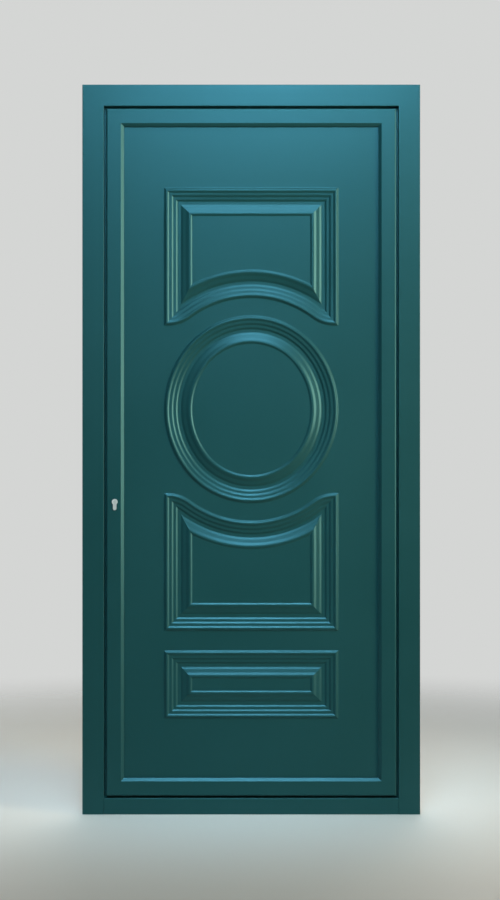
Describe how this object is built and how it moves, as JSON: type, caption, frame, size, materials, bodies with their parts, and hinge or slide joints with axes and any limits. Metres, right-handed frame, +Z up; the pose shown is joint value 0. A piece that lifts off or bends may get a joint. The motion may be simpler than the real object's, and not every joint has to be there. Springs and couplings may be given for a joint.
{
  "type": "panelled entrance door",
  "caption": "Hinged entrance door in its hollow metal frame, with an embossed sheet panel of arched, oval and rectangular mouldings, a cylinder lock and an inside lever.",
  "frame": {"origin": "middle of the sill's underside, on the middle of the frame's depth", "axes": "+Z up, +X to the right seen from outside, +Y from the outside face to the inside"},
  "size_m": [1, 0.118, 2.16],
  "materials": {
    "profile_paint": "satin powder coat",
    "panel_paint": "satin powder coat",
    "inner_paint": "satin powder coat",
    "hinge_paint": "satin powder coat",
    "raw_aluminium": "mill finish",
    "steel": "zinc plated",
    "satin_nickel": "satin nickel",
    "seal_rubber": "matte",
    "core_board": "foam",
    "plastic": "matte"
  },
  "bodies": {
    "frame": {"frame_jamb_lock": "profile_paint", "frame_jamb_hinge": "profile_paint", "frame_head": "profile_paint", "frame_sill": "profile_paint", "frame_keys": "raw_aluminium", "sill_brackets": "raw_aluminium", "sill_screws": "steel", "stop_seal": "seal_rubber", "strike_plate": "steel", "strike_screws": "steel", "hinge_1_frame_wing": "hinge_paint", "hinge_2_frame_wing": "hinge_paint", "hinge_3_frame_wing": "hinge_paint", "hinge_1_pin": "steel", "hinge_2_pin": "steel", "hinge_3_pin": "steel", "hinge_frame_screws": "steel"},
    "leaf": {"leaf_stile_lock": "profile_paint", "leaf_stile_hinge": "profile_paint", "leaf_rail_top": "profile_paint", "leaf_rail_bottom": "profile_paint", "leaf_keys": "raw_aluminium", "lip_seal": "seal_rubber", "panel_skin": "panel_paint", "panel_core": "core_board", "panel_back_sheet": "inner_paint", "outer_seal": "seal_rubber", "inner_seal": "seal_rubber", "bead_top": "profile_paint", "bead_bottom": "profile_paint", "bead_lock": "profile_paint", "bead_hinge": "profile_paint", "packers": "plastic", "hinge_1_leaf_wing": "hinge_paint", "hinge_2_leaf_wing": "hinge_paint", "hinge_3_leaf_wing": "hinge_paint", "hinge_1_bush": "plastic", "hinge_2_bush": "plastic", "hinge_3_bush": "plastic", "hinge_leaf_screws": "steel", "lock_case": "steel", "lock_faceplate": "steel", "lock_screws": "steel", "cylinder_body": "satin_nickel", "cylinder_screw": "steel", "lever_rose": "satin_nickel", "rose_screws": "steel"},
    "lever": {"lever_handle": "satin_nickel", "lever_spindle": "steel", "follower": "steel"},
    "latch_bolt": {"latch": "steel"},
    "dead_bolt_body": {"dead_bolt": "steel"},
    "rotor": {"cylinder_plug": "satin_nickel", "cylinder_cam": "steel", "thumb_turn": "satin_nickel"}
  },
  "joints": [
    {"name": "leaf_swing", "type": "hinge", "parent": "frame", "child": "leaf", "pos_m": [0.473, 0.04, 1], "axis": [0, 0, -1], "range_deg": [0, 110]},
    {"name": "lever_turn", "type": "hinge", "parent": "leaf", "child": "lever", "pos_m": [-0.404, 0.05, 1.01], "axis": [0, 1, 0], "range_deg": [0, 35], "stiffness_Nm_per_rad": 1.2, "springref_deg": -34.38},
    {"name": "latch_slide", "type": "slide", "parent": "leaf", "child": "latch_bolt", "axis": [1, 0, 0], "range_m": [0, 0.012]},
    {"name": "cylinder_turn", "type": "hinge", "parent": "leaf", "child": "rotor", "pos_m": [-0.404, 0.009, 0.925], "axis": [0, -1, 0], "range_deg": [0, 360]},
    {"name": "dead_bolt_slide", "type": "slide", "parent": "leaf", "child": "dead_bolt_body", "axis": [-1, 0, 0], "range_m": [0, 0.02]}
  ],
  "couplings": [
    {"joint": "latch_slide", "follows": "lever_turn", "m_per_rad": 0.0196},
    {"joint": "dead_bolt_slide", "follows": "cylinder_turn", "m_per_rad": 0.00318}
  ]
}
